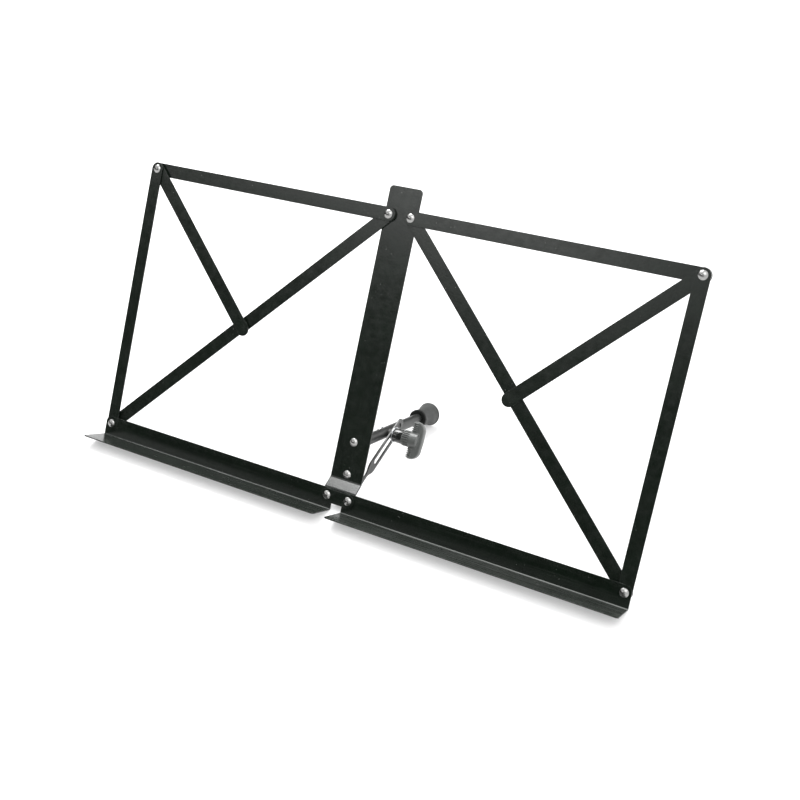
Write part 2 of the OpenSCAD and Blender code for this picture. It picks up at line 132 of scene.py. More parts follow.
def ring(bm, start, end, width, steps=48):
    """Outline of a round hole, or of a slot or bar with round ends from start to end."""
    along = Vector((end[0] - start[0], end[1] - start[1], 0))
    half_step = Matrix.Rotation(math.pi / steps, 4, "Z")
    made = bmesh.ops.create_circle(bm, segments=steps, radius=width / 2, matrix=half_step)["verts"]
    far_half = [vert for vert in made if vert.co.x > 0]
    bmesh.ops.translate(bm, vec=(along.length, 0, 0), verts=far_half)
    turn = Matrix.Rotation(math.atan2(along.y, along.x), 4, "Z")
    place = Matrix.Translation((start[0], start[1], 0)) @ turn
    bmesh.ops.transform(bm, matrix=place, verts=made)


def cornered(bm, corners, steps=8):
    """Outline with rounded corners, each given as x, y and the length that its round takes."""
    verts = [bm.verts.new((x, y, 0)) for x, y, _ in corners]
    face = bm.faces.new(verts)
    for vert, (_, _, rounding) in zip(verts, corners):
        if rounding > 0:
            bmesh.ops.bevel(
                bm,
                geom=[vert],
                offset=rounding,
                offset_type="OFFSET",
                segments=steps,
                profile=0.5,
                affect="VERTICES",
                material=-1,
            )
    bmesh.ops.delete(bm, geom=bm.faces[:], context="FACES_ONLY")
    bmesh.ops.remove_doubles(bm, verts=bm.verts[:], dist=0.001)
    return face


def filled(bm):
    """Closes the outlines of a blank, and leaves the inner ones open as holes."""
    bmesh.ops.triangle_fill(bm, use_beauty=True, edges=bm.edges[:], normal=(0, 0, 1))
    bmesh.ops.dissolve_limit(
        bm, angle_limit=0.001, verts=bm.verts[:], edges=bm.edges[:], use_dissolve_boundaries=False
    )
    return bm


def thickened(bm, amount):
    """Gives a sheet its thickness, on the side that its normals point away from."""
    bmesh.ops.solidify(bm, geom=bm.faces[:] + bm.edges[:] + bm.verts[:], thickness=amount)
    return recalculated(bm)


def eased(bm, amount, segments=2, sharper_than=40):
    """Rounds every edge that turns by more than an angle in degrees."""
    limit = math.radians(sharper_than)
    sharp = [edge for edge in bm.edges if edge.is_manifold and edge.calc_face_angle(0) > limit]
    bmesh.ops.bevel(
        bm,
        geom=sharp,
        offset=amount,
        offset_type="OFFSET",
        segments=segments,
        profile=0.5,
        affect="EDGES",
        clamp_overlap=True,
        material=-1,
    )
    return bm


def rounded_path(corners, reach, steps):
    """Path through corners, each inner one rounded from the given distance on both sides."""
    points = [Vector(corners[0])]
    for before, corner, after in zip(corners, corners[1:], corners[2:]):
        corner = Vector(corner)
        start = (Vector(before) - corner).normalized()
        end = (Vector(after) - corner).normalized()
        pull = math.cos((math.pi - start.angle(end)) / 2)
        for step in range(steps + 1):
            share = step / steps
            weights = ((1 - share) ** 2, 2 * pull * share * (1 - share), share**2)
            offset = (weights[0] * start + weights[2] * end) * reach
            points.append(corner + offset / sum(weights))
    points.append(Vector(corners[-1]))
    return points


def path_length(path):
    return sum((end - start).length for start, end in zip(path, path[1:]))


def folded(bm, path):
    """Bends a flat blank along a path of y and z points that starts at its upper edge."""
    top = path[0].x
    stations = [path_length(path[: count + 1]) for count in range(len(path))]
    for station in stations[1:-1]:
        geometry = bm.verts[:] + bm.edges[:] + bm.faces[:]
        cut = (0, top - station, 0)
        bmesh.ops.bisect_plane(bm, geom=geometry, dist=0.0005, plane_co=cut, plane_no=(0, 1, 0))
    for vert in bm.verts:
        along = top - vert.co.y
        passed = sum(1 for station in stations[1:-1] if station < along - 0.001)
        heading = (path[passed + 1] - path[passed]).normalized()
        place = path[passed] + heading * (along - stations[passed])
        vert.co.y, vert.co.z = place
    return bm


def faced(bm, away):
    """Turns a sheet over if its upper edge faces away from a direction."""
    recalculated(bm)
    upper = max(bm.faces, key=lambda face: face.calc_center_median().y)
    if upper.normal.dot(away) > 0:
        bmesh.ops.reverse_faces(bm, faces=bm.faces[:])
    return bm


def turned(profile, steps=48, ease=0.0):
    """A piece turned about z from a profile of radius and height points.

    The profile is closed, or starts and ends on the axis."""
    bm = bmesh.new()
    verts = [bm.verts.new((radius, 0, height)) for radius, height in profile]
    edges = [bm.edges.new(pair) for pair in zip(verts, verts[1:])]
    if profile[0][0] > 0:
        edges.append(bm.edges.new((verts[-1], verts[0])))
    bmesh.ops.spin(
        bm,
        geom=verts + edges,
        cent=(0, 0, 0),
        axis=(0, 0, 1),
        angle=2 * math.pi,
        steps=steps,
        use_merge=True,
        use_duplicate=False,
    )
    bmesh.ops.remove_doubles(bm, verts=bm.verts[:], dist=0.0005)
    recalculated(bm)
    if ease > 0:
        eased(bm, ease)
    return bm


def arc(centre, radius, start, end, steps):
    """Points of radius and height on an arc, with its angles in degrees."""
    points = []
    for step in range(steps + 1):
        angle = math.radians(start + (end - start) * step / steps)
        points.append((centre[0] + radius * math.cos(angle), centre[1] + radius * math.sin(angle)))
    return points


def dome(diameter, height, rim, steps=9):
    """Points of a domed head, from the foot of its rim to its pole."""
    rise = height - rim
    ball = (diameter * diameter / 4 + rise * rise) / (2 * rise)
    start = math.degrees(math.asin((ball - rise) / ball))
    points = arc((0, height - ball), ball, start, 90, steps)
    points[-1] = (0, height)
    return [(diameter / 2, 0)] + points


def moved(bm, matrix):
    bmesh.ops.transform(bm, matrix=matrix, verts=bm.verts[:])
    return bm


def joined(*parts):
    """One mesh of several closed shells."""
    whole = bmesh.new()
    for part in parts:
        mesh = bpy.data.meshes.new("shell")
        part.to_mesh(mesh)
        part.free()
        whole.from_mesh(mesh)
        bpy.data.meshes.remove(mesh)
    return whole


def fitted(bm, place, finish, node, name=None, flats=False):
    """Makes a drawn mesh the piece that stands for a CAD node and rides on its body.

    With flats, the shading keeps broad faces even where they meet rounded edges."""
    moved(bm, place)
    recalculated(bm)
    mesh = bpy.data.meshes.new(name or "finished_" + node)
    bm.to_mesh(mesh)
    bm.free()
    mesh.shade_smooth()
    mesh.set_sharp_from_angle(angle=math.radians(35))
    made = bpy.data.objects.new(mesh.name, mesh)
    bpy.context.scene.collection.objects.link(made)
    mesh.materials.append(FINISHES[finish])
    if flats:
        even = made.modifiers.new("even shading", "WEIGHTED_NORMAL")
        even.keep_sharp = True
        even.weight = 80
    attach(made, BODY_OF[node])
    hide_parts(node)
    return made


# ---- finishes ----


def node_in(tree, kind, inputs, **settings):
    """Adds a shader node; an input takes a value or another node's socket."""
    made = tree.nodes.new("ShaderNode" + kind)
    for key, value in settings.items():
        setattr(made, key, value)
    for key, value in inputs.items():
        if isinstance(value, bpy.types.NodeSocket):
            tree.links.new(value, made.inputs[key])
        else:
            made.inputs[key].default_value = value
    return made


def noise(tree, scale, detail=2.0, stretch=(1, 1, 1)):
    """Cloudy values from 0 to 1, fixed to the piece; scale is in clouds per metre."""
    place = node_in(tree, "TexCoord", {}).outputs["Object"]
    stretched = node_in(tree, "Mapping", {"Vector": place, "Scale": stretch})
    inputs = {"Vector": stretched.outputs[0], "Scale": scale, "Detail": detail}
    return node_in(tree, "TexNoise", inputs).outputs[0]


def between(tree, value, low, high, to_low=0.0, to_high=1.0):
    """Spreads the part of a value between low and high over a new range."""
    inputs = {0: value, 1: low, 2: high, 3: to_low, 4: to_high}
    return node_in(tree, "MapRange", inputs, clamp=True).outputs[0]


def maths(tree, operation, first, second):
    return node_in(tree, "Math", {0: first, 1: second}, operation=operation).outputs[0]


def mixed(tree, amount, first, second):
    inputs = {0: amount, 6: first, 7: second}
    return node_in(tree, "Mix", inputs, data_type="RGBA").outputs[2]


def shade(colour, factor):
    return tuple(channel * factor for channel in colour) + (1.0,)


def edge_wear(tree, reach, low, high):
    """1 on corners and edges that hands and tables rub, 0 on flats."""
    rounded = node_in(tree, "Bevel", {"Radius": reach}, samples=4).outputs[0]
    flat = node_in(tree, "NewGeometry", {}).outputs["Normal"]
    inputs = {0: rounded, 1: flat}
    agree = node_in(tree, "VectorMath", inputs, operation="DOT_PRODUCT").outputs["Value"]
    wear_and_painted_light_amount = between(tree, agree, 0.995, 0.90)
    patchy = between(tree, noise(tree, 260, 4.0), low, high)
    return maths(tree, "MULTIPLY", wear_and_painted_light_amount, patchy)


def wear_and_painted_light_patches(tree, streak_stretch):
    """Where a ledge is painted lighter, partly as the wear that books rub and partly as painted light: more on the
    right side, in uneven streaks and patches.
    """
    place = node_in(tree, "TexCoord", {}).outputs["Object"]
    across = node_in(tree, "SeparateXYZ", {0: place}).outputs["X"]
    # painted light as well as wear: the mask grows stronger towards the right side
    wear_and_painted_light_to_the_right = between(tree, across, -0.26, 0.12, 0.05, 1.0)
    uneven = between(tree, noise(tree, 1500, 3.0, streak_stretch), 0.38, 0.62, 0.2, 1.0)
    worn_and_painted_light_patches = between(tree, noise(tree, 22, 3.0), 0.35, 0.65, 0.6, 1.0)
    return maths(tree, "MULTIPLY", maths(tree, "MULTIPLY", wear_and_painted_light_to_the_right, uneven), worn_and_painted_light_patches)


def desk_band(tree, start, full, fade, end):
    """1 inside a band of heights above the desk, in millimetres, that fades at both its ends."""
    reader_side = DESK.to_3x3().col[2].normalized()
    base = DESK.translation.dot(reader_side)
    place = node_in(tree, "TexCoord", {}).outputs["Object"]
    inputs = {0: place, 1: reader_side}
    above = node_in(tree, "VectorMath", inputs, operation="DOT_PRODUCT").outputs["Value"]
    rise = between(tree, above, base + start * MM, base + full * MM)
    fall = between(tree, above, base + end * MM, base + fade * MM)
    return maths(tree, "MULTIPLY", rise, fall)


def make_finish(
    name,
    colour,
    roughness,
    metallic=0.0,
    tone=0.15,
    tone_scale=60,
    spread=0.05,
    peel=(700, 0.00002),
    grain=(3500, 0.000006),
    streaks=0.0,
    streak_stretch=(0.012, 1, 1),
    specks=0.0,
    wear=0.0,
    # the colour of wear, and of the painted light and painted highlight on the ledges
    wear_and_painted_light_colour=(0.2, 0.2, 0.2),
    coat=0.0,
    specular=0.5,
    wear_and_painted_light_bands=(),
):
    """A procedural finish: clouded tone, uneven gloss, orange peel, grain, streaks, wear and painted light.

    Peel and grain are bumps per metre and their height in metres. The bands of wear and painted light
    are lightened in the wear colour, each with the four heights of desk_band() and a strength: on the
    ledges they are book wear together with painted light on the lip, and a painted highlight along the bend."""
    material = bpy.data.materials.new(name)
    material.use_nodes = True
    tree = material.node_tree
    shader = tree.nodes["Principled BSDF"]
    shader.inputs["Metallic"].default_value = metallic
    shader.inputs["Coat Weight"].default_value = coat
    shader.inputs["Coat Roughness"].default_value = 0.1
    shader.inputs["Specular IOR Level"].default_value = specular

    clouds = noise(tree, tone_scale, 5.0)
    toned = mixed(
        tree, between(tree, clouds, 0.3, 0.7), shade(colour, 1 - tone), shade(colour, 1 + tone)
    )
    gloss = between(tree, noise(tree, 180, 6.0), 0.3, 0.7, roughness - spread, roughness + spread)
    if streaks > 0:
        lines = noise(tree, 1400, 3.0, streak_stretch)
        fine = between(tree, lines, 0.55, 0.75, 0.0, streaks)
        toned = mixed(tree, fine, toned, shade(wear_and_painted_light_colour, 1.0))
        gloss = maths(tree, "ADD", gloss, maths(tree, "MULTIPLY", fine, 0.5))
    if wear_and_painted_light_bands:
        worn_and_painted_light_patches = wear_and_painted_light_patches(tree, streak_stretch)
    # each band is painted lighter: wear and painted light on a ledge's lip, or a painted highlight line along its
    # bend
    for start, full, fade, end, strength in wear_and_painted_light_bands:
        band = desk_band(tree, start, full, fade, end)
        wear_and_painted_light_amount = maths(tree, "MULTIPLY", maths(tree, "MULTIPLY", band, worn_and_painted_light_patches), strength)
        toned = mixed(tree, wear_and_painted_light_amount, toned, shade(wear_and_painted_light_colour, 1.0))
        gloss = maths(tree, "ADD", gloss, maths(tree, "MULTIPLY", wear_and_painted_light_amount, 0.8))
    if specks > 0:
        place = node_in(tree, "TexCoord", {}).outputs["Object"]
        cells = node_in(tree, "TexVoronoi", {"Vector": place, "Scale": 240.0}).outputs["Distance"]
        dots = between(tree, cells, 0.075, 0.045, 0.0, specks)
        rare = between(tree, noise(tree, 45, 1.0), 0.5, 0.62)
        toned = mixed(tree, maths(tree, "MULTIPLY", dots, rare), toned, (0.6, 0.6, 0.58, 1))
    if wear > 0:
        wear_and_painted_light_amount = maths(tree, "MULTIPLY", edge_wear(tree, 0.0005, 0.45, 0.65), wear)
        toned = mixed(tree, wear_and_painted_light_amount, toned, shade(wear_and_painted_light_colour, 1.0))
        gloss = maths(tree, "ADD", gloss, maths(tree, "MULTIPLY", wear_and_painted_light_amount, 0.12))
    tree.links.new(toned, shader.inputs["Base Color"])
    tree.links.new(gloss, shader.inputs["Roughness"])

    bumps = {"Strength": 1.0, "Distance": peel[1], "Height": noise(tree, peel[0], 1.5)}
    peeled = node_in(tree, "Bump", bumps).outputs[0]
    bumps = {"Strength": 1.0, "Distance": grain[1], "Height": noise(tree, grain[0], 2.0)}
    grained = node_in(tree, "Bump", bumps | {"Normal": peeled}).outputs[0]
    tree.links.new(grained, shader.inputs["Normal"])
    return material


FINISHES = {
    "semi-gloss paint": make_finish(
        "semi-gloss black paint",
        (0.0036, 0.0060, 0.0040),
        0.20,
        tone=0.2,
        peel=(650, 0.000022),
        grain=(3000, 0.000005),
        streaks=0.03,
        specks=0.3,
        wear=0.35,
        wear_and_painted_light_colour=(0.09, 0.095, 0.09),
    ),
    "ledge paint": make_finish(
        "semi-gloss black paint on the ledges",
        (0.0022, 0.0048, 0.0026),
        0.20,
        tone=0.2,
        peel=(650, 0.000016),
        grain=(3000, 0.000004),
        streaks=0.05,
        specks=0.25,
        wear=0.45,
        wear_and_painted_light_colour=(0.15, 0.156, 0.15),
        # the lip is painted lighter, partly as the wear of books and partly as painted light on its upward face;
        # the narrow second band is a painted highlight line along the bend
        wear_and_painted_light_bands=((8.9, 12.0, 38.0, 40.0, 0.22), (8.22, 8.32, 9.6, 10.8, 1.7)),
    ),
    "tube paint": make_finish(
        "satin black paint on the leg",
        (0.014, 0.0152, 0.0145),
        0.36,
        specular=0.6,
        tone=0.3,
        tone_scale=140,
        spread=0.08,
        peel=(900, 0.00004),
        grain=(3800, 0.000012),
        streaks=0.1,
        streak_stretch=(1, 1, 1),
        specks=0.5,
        wear=0.6,
        wear_and_painted_light_colour=(0.15, 0.155, 0.15),
    ),
    "polished nickel": make_finish(
        "polished nickel",
        (0.29, 0.29, 0.285),
        0.25,
        metallic=1.0,
        tone=0.06,
        spread=0.05,
        peel=(500, 0.000006),
        grain=(3500, 0.000002),
        streaks=0.15,
        streak_stretch=(0.1, 1, 1),
        wear_and_painted_light_colour=(0.5, 0.49, 0.47),
    ),
    "bright zinc": make_finish(
        "bright zinc",
        (0.42, 0.43, 0.44),
        0.28,
        metallic=1.0,
        tone=0.1,
        spread=0.08,
        peel=(900, 0.00001),
        grain=(3600, 0.000004),
        streaks=0.2,
        wear_and_painted_light_colour=(0.4, 0.4, 0.4),
    ),
    "moulded rubber": make_finish(
        "moulded rubber",
        (0.021, 0.0229, 0.0216),
        0.55,
        tone=0.22,
        tone_scale=160,
        spread=0.1,
        peel=(1100, 0.00005),
        grain=(4200, 0.00002),
        specks=0.35,
        wear=0.35,
        wear_and_painted_light_colour=(0.16, 0.165, 0.16),
        specular=0.6,
    ),
    # a darker copy of the foot's rubber for its neck: painted shade where the collar is in shadow
    "black rubber": make_finish(
        "darker rubber as painted shade on the foot's neck",
        (0.003, 0.0037, 0.0032),
        0.50,
        specular=0.2,
        tone=0.2,
        spread=0.06,
        peel=(900, 0.00002),
        grain=(4000, 0.000008),
        specks=0.3,
        wear=0.3,
        wear_and_painted_light_colour=(0.08, 0.083, 0.08),
    ),
    "satin plastic": make_finish(
        "satin moulded plastic",
        (0.066, 0.0705, 0.067),
        0.40,
        specular=0.7,
        tone=0.2,
        tone_scale=120,
        spread=0.06,
        peel=(1000, 0.00003),
        grain=(4200, 0.00001),
        specks=0.2,
        wear=0.4,
        wear_and_painted_light_colour=(0.14, 0.145, 0.14),
    ),
    "gloss plastic": make_finish(
        "glossy moulded plastic",
        (0.01, 0.011, 0.0105),
        0.16,
        tone=0.15,
        spread=0.04,
        peel=(500, 0.000008),
        grain=(3500, 0.000002),
        specks=0.1,
        coat=0.4,
    ),
    "matt nylon": make_finish(
        "matt nylon",
        (0.035, 0.035, 0.034),
        0.55,
        tone=0.15,
        spread=0.06,
        peel=(900, 0.00003),
        grain=(4000, 0.00001),
    ),
    "turned brass": make_finish(
        "turned brass",
        (0.72, 0.52, 0.24),
        0.28,
        metallic=1.0,
        tone=0.1,
        spread=0.08,
        peel=(900, 0.00001),
        grain=(3600, 0.000005),
        streaks=0.2,
        wear_and_painted_light_colour=(0.45, 0.33, 0.16),
    ),
}


# ---- bars and sheet metal ----

BAR_EASE = 0.28
bar_low, bar_high = extent("right_top_bar", DESK)
BAR_W = bar_high.y - bar_low.y


def bar(start, end, back, front, holes):
    """A flat bar with round ends; holes are the diameters at its two ends, 0 for none."""
    bm = bmesh.new()
    ring(bm, start, end, BAR_W)
    for place, diameter in zip((start, end), holes):
        if diameter > 0:
            ring(bm, place, place, diameter, 32)
    filled(bm)
    thickened(bm, front - back)
    base = min(vert.co.z for vert in bm.verts)
    moved(bm, Matrix.Translation((0, 0, back - base)))
    return eased(bm, BAR_EASE)


def stay_end():
    """Middle of the stay's plain end, from the lowest corner of its CAD box."""
    low, _ = extent("right_stay", DESK)
    return Vector((low.x + BAR_W / 2, low.y + BAR_W / 2, 0))


BARS = {
    "top_bar": (TOP_INNER, TOP_OUTER, (RUNNING_D, RUNNING_D)),
    "upright": (LEDGE_OUTER, TOP_OUTER, (RUNNING_D, SHANK_D)),
    "inner_brace": (TOP_INNER, MIDDLE, (RUNNING_D, SHANK_D)),
    "outer_brace": (MIDDLE, LEDGE_OUTER, (SHANK_D, RUNNING_D)),
    "stay": (TOP_OUTER, stay_end(), (RUNNING_D, 0)),
}


def ledge():
    """The book ledge: a web against the desk, bent forward into a lip."""
    low, high = extent("right_ledge", DESK)
    sheet_t = 1.0
    bend_reach = 1.6
    lip_reach = high.z - low.z
    path = rounded_path([(high.y, 0), (low.y, 0), (low.y, lip_reach)], bend_reach, 8)
    foot = high.y - path_length(path)
    bm = bmesh.new()
    cornered(
        bm,
        [
            (low.x, high.y, 0.8),
            (low.x, foot, 2.5),
            (high.x, foot, 2.5),
            (high.x, high.y, 5.5),
        ],
    )
    ring(bm, LEDGE_INNER, LEDGE_INNER, RUNNING_D, 32)
    ring(bm, LEDGE_OUTER, LEDGE_OUTER, SHANK_D, 32)
    filled(bm)
    folded(bm, path)
    faced(bm, Vector((0, 0, 1)))
    thickened(bm, sheet_t)
    moved(bm, Matrix.Translation((0, 0, low.z)))
    return eased(bm, 0.25)


def centre_plate():
    """The flat centre plate, stepped forward at its foot to carry the ledges."""
    low, high = extent("center_plate", DESK)
    sheet_t = -low.z
    step_top = (15.0, 0)
    step_foot = (7.0, high.z)
    bend_reach = 0.9
    path = rounded_path([(high.y, 0), step_top, step_foot, (low.y, high.z)], bend_reach, 4)
    foot = high.y - path_length(path)
    flat_foot = high.y - path_length(path[:-1])
    flat_pivot = flat_foot - (path[-2].x - LEDGE_INNER.y)
    bm = bmesh.new()
    cornered(
        bm,
        [
            (low.x, high.y, 3.5),
            (low.x, foot, 1.0),
            (high.x, foot, 1.0),
            (high.x, high.y, 3.5),
        ],
    )
    for side in (-1, 1):
        place = (side * TOP_INNER.x, TOP_INNER.y)
        ring(bm, place, place, SHANK_D, 32)
        place = (side * LEDGE_INNER.x, flat_pivot)
        ring(bm, place, place, SHANK_D, 32)
    for height in BRACKET_RIVET_HEIGHTS:
        ring(bm, (0, height), (0, height), SHANK_D, 32)
    filled(bm)
    folded(bm, path)
    faced(bm, Vector((0, 0, -1)))
    thickened(bm, sheet_t)
    return eased(bm, 0.3)


def softened_copy(node, amount):
    """A merged copy of a CAD node's mesh with its edges rounded, in millimetres."""
    bm = bmesh.new()
    bm.from_mesh(NODES[node].data)
    moved(bm, Matrix.Scale(1 / MM, 4))
    bmesh.ops.remove_doubles(bm, verts=bm.verts[:], dist=0.002)
    bmesh.ops.dissolve_limit(bm, angle_limit=0.01, verts=bm.verts[:], edges=bm.edges[:])
    return eased(bm, amount)


def strut():
    """The slotted strut, with its thin tail and the eye at its pivot."""
    low, high = extent("tilt_strut", STRUT)
    end = high.y
    half = high.x
    eye = 4.6
    eye_end = 2.0
    tail = 1.6
    tail_start = 6.0
    tail_end = 30.6
    shoulder = 37.6
    slot_w = 6.0
    slot_start = 46.6
    slot_end = 91.4
    bm = bmesh.new()
    cornered(
        bm,
        [
            (-eye, -eye, eye),
            (eye, -eye, eye),
            (eye, eye_end, 2.0),
            (tail, tail_start, 2.0),
            (tail, tail_end, 3.0),
            (half, shoulder, 3.0),
            (half, end, half),
            (-half, end, half),
            (-half, shoulder, 3.0),
            (-tail, tail_end, 3.0),
            (-tail, tail_start, 2.0),
            (-eye, eye_end, 2.0),
        ],
    )
    ring(bm, (0, slot_start), (0, slot_end), slot_w)
    ring(bm, (0, 0), (0, 0), RUNNING_D, 32)
    filled(bm)
    thickened(bm, high.z - low.z)
    base = min(vert.co.z for vert in bm.verts)
    moved(bm, Matrix.Translation((0, 0, low.z - base)))
    return eased(bm, 0.22)


# ---- turned pieces ----


def rivet(back, front, head_d=HEAD_D, head_h=HEAD_H, tail_d=TAIL_D, tail_h=TAIL_H):
    """A riveted pivot along z, with its head above front and its tail below back."""
    tail = [(radius, back - height) for radius, height in dome(tail_d, tail_h, 0.15, 6)]
    head = [(radius, front + height) for radius, height in dome(head_d, head_h, 0.2)]
    shank = [(SHANK_D / 2, back), (SHANK_D / 2, front)]
    return turned(tail[::-1] + shank + head, 40)


def collar(outer_d, bore_d, back, front, ease=0.15):
    """A plain washer, spacer or bush."""
    corners = [
        (bore_d / 2, back),
        (outer_d / 2, back),
        (outer_d / 2, front),
        (bore_d / 2, front),
    ]
    return turned(corners, 48, ease)


def plug(diameter, back, front):
    """A solid shank with eased ends."""
    corners = [(0, back), (diameter / 2, back), (diameter / 2, front), (0, front)]
    return turned(corners, 32, 0.12)


def leg_tube():
    """The leg's tube, with a round closed end at its pivot and an open bore beyond it."""
    _, high = extent("leg_tube", LEG)
    outer = high.x
    wall = 1
    bore = outer - wall
    bore_start = 4.0
    end = high.z
    round_end = arc((0, 0), outer, -90, 0, 10)
    round_end[0] = (0, -outer)
    return turned(round_end + [(outer, end), (bore, end), (bore, bore_start), (0, bore_start)])


def rubber_foot():
    """The foot in two moulded pieces: its neck, and a flared body with a beaded rim and a sole. The neck takes a
    darker rubber as painted shade at its collar.
    """
    low, high = extent("rubber_foot", LEG)
    length = high.z - low.z
    rim_r = high.x
    tube_r = 5.0
    tube_room = 6.0
    collar_r = 8.75
    collar_h = 3.2
    collar_round = 0.6
    waist_r = collar_r - 0.9
    waist_start = collar_h + 0.7
    seam_r = waist_r - 0.4
    seam = collar_h + 0.2
    bead_r = 1.5
    body_r = rim_r - 0.7
    body_end = length - 2 * bead_r
    groove_depth = 0.7
    flare_steps = 14
    flare = []
    for step in range(flare_steps + 1):
        share = step / flare_steps
        reach = 1 - math.cos(math.radians(90 * share))
        radius = waist_r + (body_r - waist_r) * reach
        flare.append((radius, waist_start + (body_end - waist_start) * share))
    grooves = []
    for radius in (8.2, 5.6, 3.0):
        grooves += [
            (radius, length),
            (radius - 0.3, length - groove_depth),
            (radius - 1.0, length - groove_depth),
            (radius - 1.3, length),
        ]
    neck = (
        [(tube_r, seam), (tube_r, 0.3), (tube_r + 0.3, 0)]
        + arc((collar_r - collar_round, collar_round), collar_round, -90, 0, 4)
        + arc((collar_r - collar_round, collar_h - collar_round), collar_round, 0, 80, 4)
        + [(waist_r - 0.35, collar_h + 0.1), (seam_r, seam)]
    )
    body = (
        [(0, length - tube_room), (tube_r, length - tube_room), (tube_r, seam)]
        + [(seam_r, seam), (waist_r - 0.3, collar_h + 0.45)]
        + flare
        + [(body_r + 0.05, body_end + 0.3)]
        + arc((rim_r - bead_r, length - bead_r), bead_r, -55, 90, 8)
        + grooves
        + [(0, length)]
    )
    place = Matrix.Translation((0, 0, low.z))
    return moved(turned(neck, 72), place), moved(turned(body, 72), place)


# ---- clamp and knob ----

KNOB_TURN = math.radians(75)
WING_T = 5.5
INSERT_D = 8.0


def clamp_bolt():
    """A hexagon-headed bolt through the leg, the strut and the knob's insert."""
    low, high = extent("clamp_bolt", CLAMP)
    head_r = 4.2
    head_h = 3.0
    head = bmesh.new()
    bmesh.ops.create_cone(
        head, cap_ends=True, segments=6, radius1=head_r, radius2=head_r, depth=head_h
    )
    moved(head, Matrix.Translation((0, 0, low.z + head_h / 2)))
    eased(head, 0.35)
    shaft = plug(BOLT_D, low.z + 1, high.z)
    return joined(head, shaft)


def ribbed_hub(length, wing_start):
    """The knob's hub, with every second side sunk between the ribs."""
    rib_count = 22
    rib_depth = 0.9
    hub_r = 7.25
    hub_start = 9.0
    root_start = 8.0
    root_r = 5.5
    crown_edge = length - 4.5
    crown = length - 3.0
    hub = turned(
        [(0, root_start), (root_r, root_start), (root_r, hub_start), (hub_r - 0.4, hub_start)]
        + [(hub_r, hub_start + 0.6)]
        + [(hub_r, hub_start + 1 + step) for step in range(int(wing_start - hub_start))]
        + [(hub_r, crown_edge), (hub_r - 2.0, crown - 0.3), (0, crown)],
        2 * rib_count,
    )
    sunk = []
    for side in hub.faces:
        middle = side.calc_center_median()
        column = round((math.atan2(middle.y, middle.x) / math.pi) * rib_count - 0.5)
        outside = middle.to_2d().length > hub_r - 0.3
        if column % 2 == 0 and outside and hub_start + 0.6 < middle.z < wing_start + 0.5:
            sunk.append(side)
    bmesh.ops.inset_region(
        hub, faces=sunk, thickness=0.05, depth=-rib_depth, use_even_offset=True
    )
    return hub


def wing(length, wing_start):
    """One wing of the knob, standing on the hub and reaching to the right."""
    span = 17.0
    blank = bmesh.new()
    cornered(
        blank,
        [
            (-1.0, wing_start - 1.2, 0),
            (6.0, wing_start - 1.2, 2.0),
            (9.5, wing_start + 1.2, 3.0),
            (13.0, wing_start + 0.6, 3.0),
            (span, wing_start + 0.8, 1.5),
            (span, length - 0.6, 8.0),
            (-1.0, length, 0),
        ],
    )
    filled(blank)
    thickened(blank, WING_T)
    middle = sum(vert.co.z for vert in blank.verts) / len(blank.verts)
    moved(blank, Matrix.Translation((0, 0, -middle)))
    eased(blank, 1.3, 3, 60)
    return moved(blank, Matrix.Rotation(math.pi / 2, 4, "X"))


def wing_ridges(wing_start):
    """The short grip ridges along one wing's inner edge."""
    first = 8.6
    gap = 1.7
    size = (0.85, WING_T + 1.8, 4.8)
    ridges = []
    for step in range(5):
        ridge = bmesh.new()
        bmesh.ops.create_cube(ridge, size=1.0)
        moved(ridge, Matrix.Diagonal((*size, 1)))
        eased(ridge, 0.15, 2)
        moved(ridge, Matrix.Translation((first + gap * step, 0, wing_start + 2.4)))
        ridges.append(ridge)
    return ridges


def knob_grip():
    """The knob's ribbed hub and its two wings, moulded in one."""
    low, high = extent("wing_knob", CLAMP)
    length = high.z - low.z
    wing_start = length - 12.0
    shells = [ribbed_hub(length, wing_start)]
    for half_turn in (0, math.pi):
        turn = Matrix.Rotation(half_turn, 4, "Z")
        for shell in [wing(length, wing_start)] + wing_ridges(wing_start):
            shells.append(recalculated(moved(shell, turn)))
    grip = joined(*shells)
    return moved(grip, Matrix.Translation((0, 0, low.z)) @ Matrix.Rotation(KNOB_TURN, 4, "Z"))


def moulded_in_one(piece):
    """Fuses the shells of a piece into one skin, and softens its edges a little."""
    fused = piece.modifiers.new("moulded in one", "REMESH")
    fused.mode = "VOXEL"
    fused.voxel_size = 0.00021
    fused.use_smooth_shade = True
    softened = piece.modifiers.new("soft mould edges", "SMOOTH")
    softened.factor = 0.5
    softened.iterations = 1


# ---- putting it together ----

fitted(centre_plate(), DESK, "semi-gloss paint", "center_plate", flats=True)
strap_low, strap_high = extent("link_strap", DESK)
fitted(
    bar(-LEDGE_INNER, LEDGE_INNER, strap_low.z, strap_high.z, (SHANK_D, SHANK_D)),
    DESK,
    "semi-gloss paint",
    "link_strap",
    flats=True,
)
fitted(
    softened_copy("leg_bracket", 0.3),
    Matrix.Scale(MM, 4),
    "semi-gloss paint",
    "leg_bracket",
    flats=True,
)

bracket_rivets = []
for height in BRACKET_RIVET_HEIGHTS:
    made = rivet(BRACKET_BACK, 0.0)
    bracket_rivets.append(moved(made, Matrix.Translation((0, height, 0))))
fitted(joined(*bracket_rivets), DESK, "polished nickel", "bracket_rivets")

